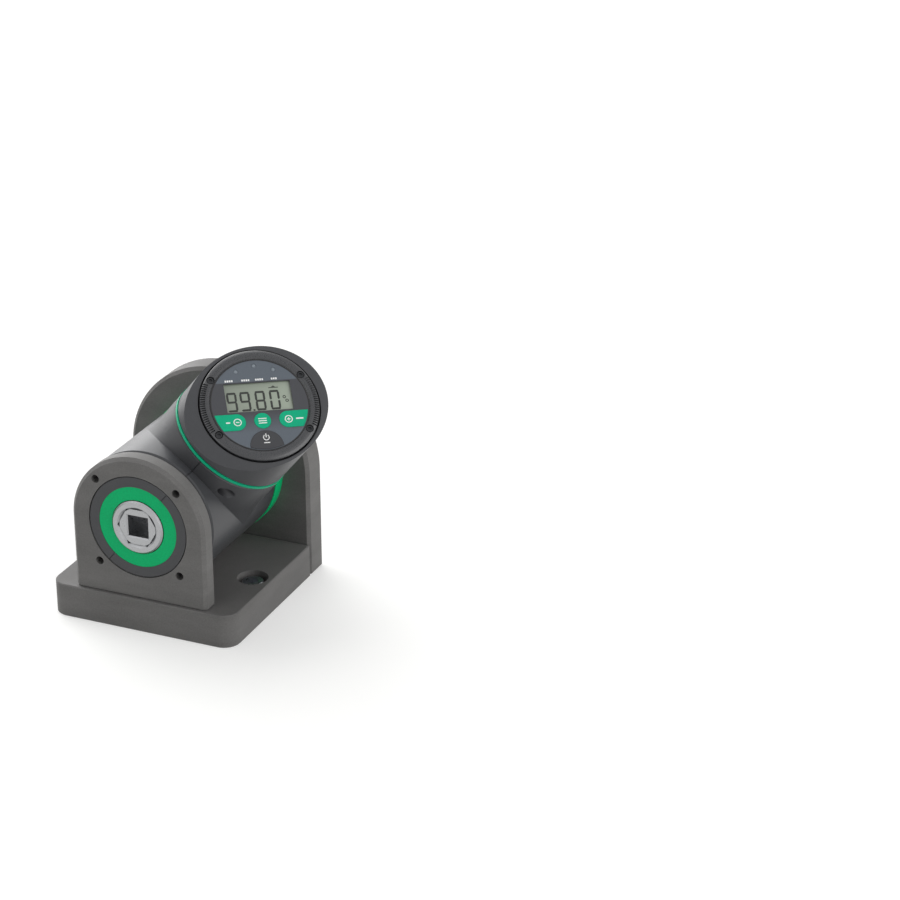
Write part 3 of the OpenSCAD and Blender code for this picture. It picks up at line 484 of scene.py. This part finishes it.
class TESTER_OT_core(bpy.types.Operator):
    """Finishes the green core with the shaft, its drive and the anchor"""

    bl_idname = "tester.core"
    bl_label = "Core and shaft"

    def execute(self, context):
        # Satin lacquer over aluminium: smooth, with a soft gloss
        lacquer = coated("satin_lacquer_green", settings().core_green, grain_mm=0.8, roughness=0.34,
                         bump_mm=0.004, mottle=0.04, spread=0.04, specular=0.15)
        for name in ("core_body", "front_cover"):
            finish_node(name, lacquer)
        # Ground and hardened steel, with the rings of the grinding wheel
        ground = machined("ground_tool_steel", "#a5a6a8", 0.3, SHAFT_MIDDLE, LEVEL, line_mm=1.1)
        for name in ("torque_shaft", "square_adaptor"):
            finish_node(name, ground)
        # Black oxide on turned steel: dark and slightly oily
        oxide = machined("black_oxide_steel", "#3a3b3d", 0.38, SHAFT_MIDDLE, LEVEL)
        for name in ("anchor_flange", "core_screws", "front_plate_screws", "rear_plate_screws",
                     "housing_screws", "head_base_screws", "bezel_screws"):
            finish_node(name, oxide)
        # Sintered bronze: warm, dull and porous
        finish_node("shaft_bush", machined("sintered_bronze", "#a8834a", 0.4, SHAFT_MIDDLE, LEVEL))
        # Zinc-plated steel: pale, with a faint cloudy bloom
        zinc = machined("zinc_plated_steel", "#a9adb2", 0.3, BENCH_SCREW, STANDING)
        for name in ("bench_screws", "bench_washers", "anchor_screws", "display_clip", "key_domes"):
            finish_node(name, zinc)
        return {"FINISHED"}


class TESTER_OT_inside(bpy.types.Operator):
    """Finishes the pieces inside: gauges, boards, leads, battery and rubber"""

    bl_idname = "tester.inside"
    bl_label = "Inside"

    def execute(self, context):
        # Fibreglass board under green solder resist
        board = coated("solder_resist_fr4", "#0b5a34", grain_mm=0.6, roughness=0.35, bump_mm=0.01,
                       mottle=0.1)
        for name in ("amplifier_board", "circuit_board"):
            finish_node(name, board)
        # Polyimide foil of strain gauges: amber and clear
        finish_node("strain_gauges", coated("polyimide_foil", "#bf7f2c", grain_mm=0.5, roughness=0.35,
                                            bump_mm=0.005))
        # Silicone insulation: matt red
        finish_node("gauge_leads", coated("silicone_insulation", "#a3231b", grain_mm=0.3, roughness=0.55,
                                          bump_mm=0.005))
        # Nitrile rubber: near black and matt
        rubber = coated("nitrile_rubber", "#202021", grain_mm=0.5, roughness=0.7, bump_mm=0.02)
        for name in ("lead_winding", "swivel_ring", "signal_cable", "display_lead", "battery_cradle"):
            finish_node(name, rubber)
        # Acetal: off-white and slightly waxy
        acetal = coated("acetal_natural", "#dcd8cb", grain_mm=0.8, roughness=0.4, bump_mm=0.005,
                        mottle=0.03)
        for name in ("cable_plug", "thrust_washer"):
            finish_node(name, acetal)
        # Shrink wrap: blue and glossy, with slow waves over the cells
        finish_node("battery_pack", coated("pvc_shrink_wrap", "#2547a0", grain_mm=2.0, roughness=0.25,
                                           bump_mm=0.02, mottle=0.04))
        return {"FINISHED"}


class TESTER_OT_housing(bpy.types.Operator):
    """Finishes the swivelling housing and the head"""

    bl_idname = "tester.housing"
    bl_label = "Housing and head"

    def execute(self, context):
        # Glass-filled polyamide with an eroded mould: dark grey, satin, very fine grain
        moulded = coated("moulded_polyamide_dark_grey", settings().housing_colour, grain_mm=0.4,
                         roughness=0.39, bump_mm=0.012, mottle=0.04, specular=0.4)
        for name in ("housing_upper", "housing_lower", "head_shell", "head_base"):
            finish_node(name, moulded)
        # The same polyamide in black, a little glossier: the insert that holds the display
        black = coated("moulded_polyamide_black", settings().insert_colour, grain_mm=0.4,
                       roughness=0.3, bump_mm=0.006, mottle=0.02, specular=0.6)
        for name in ("display_carrier", "display_bezel"):
            finish_node(name, black)
        # Tinted polyamide: bright green with a satin skin
        bright = coated("moulded_polyamide_green", settings().green, grain_mm=0.5, roughness=0.4,
                        bump_mm=0.008, mottle=0.03, specular=0.25)
        finish_node("head_ring", bright)
        return {"FINISHED"}


class TESTER_OT_display(bpy.types.Operator):
    """Finishes the display: foil, window, lamps and keys, with the digits and signs on them"""

    bl_idname = "tester.display"
    bl_label = "Display"

    def execute(self, context):
        values = settings()
        finish_node("display_panel", panel_foil())
        finish_node("lcd_module", lcd_glass())
        # Diffusing lens of a lamp that is off
        finish_node("status_lamps", coated("diffuse_lamp_lens", "#838c94", grain_mm=0.4, roughness=0.25,
                                           bump_mm=0.005))
        # Silicone keys under lacquer: green and dark grey
        key_green = coated("lacquered_silicone_green", values.green, grain_mm=0.4, roughness=0.42,
                           bump_mm=0.01, mottle=0.03, specular=0.25)
        for name in ("left_key", "mode_key", "right_key"):
            finish_node(name, key_green)
        key_grey = coated("lacquered_silicone_grey", "#303135", grain_mm=0.4, roughness=0.45,
                          bump_mm=0.01, mottle=0.03)
        finish_node("clear_key", key_grey)
        self.add_digits(values)
        self.add_signs()
        return {"FINISHED"}

    def add_digits(self, values):
        """Four digits with a point, an arrow over the last one and a small unit sign, all on the glass."""
        dark = ink("liquid_crystal_dark", "#2b2f2a", 0.3)
        w, h = values.digit_width, values.digit_height
        lit = []
        for digit, x in zip(READING, DIGIT_LEFTS):
            lit += seven_segments(digit, x, DIGIT_FOOT, w, h, SEGMENT_T)
        lit.append(bar(POINT_ENDS[0], DIGIT_FOOT, POINT_ENDS[1], POINT_TOP))
        lit.append(bar(*ARROW_BAR[0], *ARROW_BAR[1]))
        lit.append(np.array(ARROW_HEAD))
        lit += [hoop(x, y, UNIT_RING_R, UNIT_RING_W, 20) for x, y in UNIT_RINGS]
        z = -LCD_DEPTH
        slabs("display_digits", lit, z + PRINT_GAP, z + PRINT_T, dark, "display")

    def add_signs(self):
        """White signs: four rows of short dashes over the window, and plain signs on the keys."""
        white = ink("screen_print_white", "#f6f7f6")
        z = -PANEL_DEPTH
        lefts = [x + DASH_STEP * i for x, count in DASH_ROWS for i in range(count)]
        dashes = [bar(x, DASH_Y[0], x + DASH_L, DASH_Y[1]) for x in lefts]
        slabs("window_signs", dashes, z, z + PRINT_T, white, "display")
        z = -KEY_DEPTH
        for key, outlines, slot in (("left_key", self.minus_sign(), "green_plastic"),
                                    ("right_key", self.plus_sign(), "green_plastic"),
                                    ("mode_key", self.list_sign(), "green_plastic"),
                                    ("clear_key", self.power_sign(), "rubber")):
            slabs(key + "_sign", outlines, z, z + PRINT_T, white, key + "_body")

    def minus_sign(self):
        """A minus in a ring, with a dash at its left."""
        return [hoop(MINUS_X, KEY_ROW_Y, KEY_RING_R, KEY_RING_W), level_line(MINUS_X, KEY_ROW_Y, ARM_L),
                bar(MINUS_DASH[0], KEY_ROW_Y - SIDE_DASH_T / 2, MINUS_DASH[1], KEY_ROW_Y + SIDE_DASH_T / 2)]

    def plus_sign(self):
        """A plus in a ring, its upright in two parts that meet the level bar, with a dash at its right."""
        half = LINE_T / 2
        inner = half + ARM_GAP
        return [hoop(PLUS_X, KEY_ROW_Y, KEY_RING_R, KEY_RING_W), level_line(PLUS_X, KEY_ROW_Y, ARM_L),
                bar(PLUS_X - half, KEY_ROW_Y + inner, PLUS_X + half, KEY_ROW_Y + ARM_L),
                bar(PLUS_X - half, KEY_ROW_Y - ARM_L, PLUS_X + half, KEY_ROW_Y - inner),
                bar(PLUS_DASH[0], KEY_ROW_Y - SIDE_DASH_T / 2, PLUS_DASH[1], KEY_ROW_Y + SIDE_DASH_T / 2)]

    def list_sign(self):
        """Three level lines, one over the other."""
        return [level_line(0, KEY_ROW_Y + LIST_STEP * i, LIST_HALF) for i in (-1, 0, 1)]

    def power_sign(self):
        """An open ring with an upright line through its gap, and a level line below it."""
        x, y = POWER
        outside, inside = (arc(x, y, r, *POWER_ARC, 33) for r in POWER_RADII)
        return [np.concatenate([outside, inside[::-1]]),
                bar(x - LINE_T / 2, y, x + LINE_T / 2, y + POWER_LINE_L),
                level_line(x, y - POWER_DASH_DROP, POWER_DASH_HALF)]


class TESTER_OT_stage(bpy.types.Operator):
    """Makes the plain floor, the soft studio light and the camera"""

    bl_idname = "tester.stage"
    bl_label = "Stage"

    def execute(self, context):
        self.make_floor()
        self.make_lights()
        self.make_camera(context)
        context.scene.view_settings.view_transform = "Standard"
        return {"FINISHED"}

    def seen_rays(self, tree):
        """1 for rays that show the background itself: to the camera, in a gloss or through glass."""
        path = add_node(tree, "ShaderNodeLightPath")
        gloss = add_node(tree, "ShaderNodeMath", {"operation": "MAXIMUM"},
                         {0: path.outputs["Is Camera Ray"], 1: path.outputs["Is Glossy Ray"]})
        every = add_node(tree, "ShaderNodeMath", {"operation": "MAXIMUM"},
                         {0: gloss.outputs["Value"], 1: path.outputs["Is Transmission Ray"]})
        return every.outputs["Value"]

    def make_floor(self):
        """A pale floor that shows white to the camera and still takes the object's shadow."""
        corners = [(x * FLOOR_HALF, y * FLOOR_HALF, 0) for x, y in ((-1, -1), (1, -1), (1, 1), (-1, 1))]
        mesh = bpy.data.meshes.new("floor")
        mesh.from_pydata(corners, [], [(0, 1, 2, 3)])
        floor = bpy.data.objects.new("floor", mesh)
        bpy.context.collection.objects.link(floor)
        material, tree, _ = new_material("studio_paper_white")
        paper = add_node(tree, "ShaderNodeBsdfDiffuse", None, {"Color": linear("#c6c6c4")})
        lift = add_node(tree, "ShaderNodeMath", {"operation": "MULTIPLY"},
                        {0: self.seen_rays(tree), 1: FLOOR_LIFT})
        glow = add_node(tree, "ShaderNodeEmission", None,
                        {"Color": (1, 1, 1, 1), "Strength": lift.outputs["Value"]})
        both = add_node(tree, "ShaderNodeAddShader", None,
                        {0: paper.outputs["BSDF"], 1: glow.outputs["Emission"]})
        add_node(tree, "ShaderNodeOutputMaterial", None, {"Surface": both.outputs["Shader"]})
        mesh.materials.append(material)

    def make_lights(self):
        """An even white surround with broad soft lights from above, from both sides and from the front."""
        world = bpy.data.worlds.new("studio")
        bpy.context.scene.world = world
        world.use_nodes = True
        tree = world.node_tree
        tree.nodes.clear()
        plain = add_node(tree, "ShaderNodeBackground", None, {"Color": (1, 1, 1, 1), "Strength": WORLD_LIT})
        white = add_node(tree, "ShaderNodeBackground", None, {"Color": (1, 1, 1, 1), "Strength": WORLD_SEEN})
        mixed = add_node(tree, "ShaderNodeMixShader", None,
                         {0: self.seen_rays(tree), 1: plain.outputs["Background"],
                          2: white.outputs["Background"]})
        add_node(tree, "ShaderNodeOutputWorld", None, {"Surface": mixed.outputs["Shader"]})
        for sun in SUNS:
            self.add_soft_sun(*sun)

    def add_soft_sun(self, name, towards, strength, angle):
        """A far light, broad enough to soften every shadow, from the direction given."""
        light = bpy.data.lights.new(name, "SUN")
        light.energy = strength
        light.angle = np.radians(angle)
        lamp = bpy.data.objects.new(name, light)
        lamp.rotation_euler = Vector(towards).to_track_quat("Z", "Y").to_euler()
        bpy.context.collection.objects.link(lamp)

    def make_camera(self, context):
        """The camera stands where the photograph was taken: 23 degrees round and 24.4 degrees up."""
        azimuth, elevation = np.radians((CAMERA_AZIMUTH, CAMERA_ELEVATION))
        back = Vector((np.sin(azimuth) * np.cos(elevation), -np.cos(azimuth) * np.cos(elevation),
                       np.sin(elevation)))
        right = Vector((np.cos(azimuth), np.sin(azimuth), 0))
        up = back.cross(right)
        data = bpy.data.cameras.new("photo_camera")
        data.sensor_width = 36
        data.lens = settings().camera_lens
        data.clip_start, data.clip_end = 0.1, 20
        camera = bpy.data.objects.new("photo_camera", data)
        turned = Matrix((right, up, back)).transposed().to_4x4()
        camera.matrix_world = Matrix.Translation(CAMERA_PLACE) @ turned
        context.collection.objects.link(camera)
        context.scene.camera = camera


class TESTER_PT_panel(bpy.types.Panel):
    """Lists the dressing steps and their settings"""

    bl_label = "Torque tester"
    bl_idname = "TESTER_PT_panel"
    bl_space_type = "VIEW_3D"
    bl_region_type = "UI"
    bl_category = "Torque tester"

    def draw(self, context):
        for name in TesterSettings.__annotations__:
            self.layout.prop(context.scene.tester, name)
        for step in STEPS:
            self.layout.operator(step.bl_idname)


STEPS = (TESTER_OT_plates, TESTER_OT_core, TESTER_OT_inside, TESTER_OT_housing, TESTER_OT_display,
         TESTER_OT_stage)


def register():
    """Registers the settings, the operators and the panel."""
    for made in (TesterSettings, *STEPS, TESTER_PT_panel):
        bpy.utils.register_class(made)
    bpy.types.Scene.tester = bpy.props.PointerProperty(type=TesterSettings)


def unregister():
    """Takes everything out again."""
    del bpy.types.Scene.tester
    for made in (TESTER_PT_panel, *reversed(STEPS), TesterSettings):
        bpy.utils.unregister_class(made)


def main():
    register()
    bpy.ops.tester.plates()
    bpy.ops.tester.core()
    bpy.ops.tester.inside()
    bpy.ops.tester.housing()
    bpy.ops.tester.display()
    bpy.ops.tester.stage()
    bpy.context.view_layer.update()


if __name__ == "__main__":
    main()
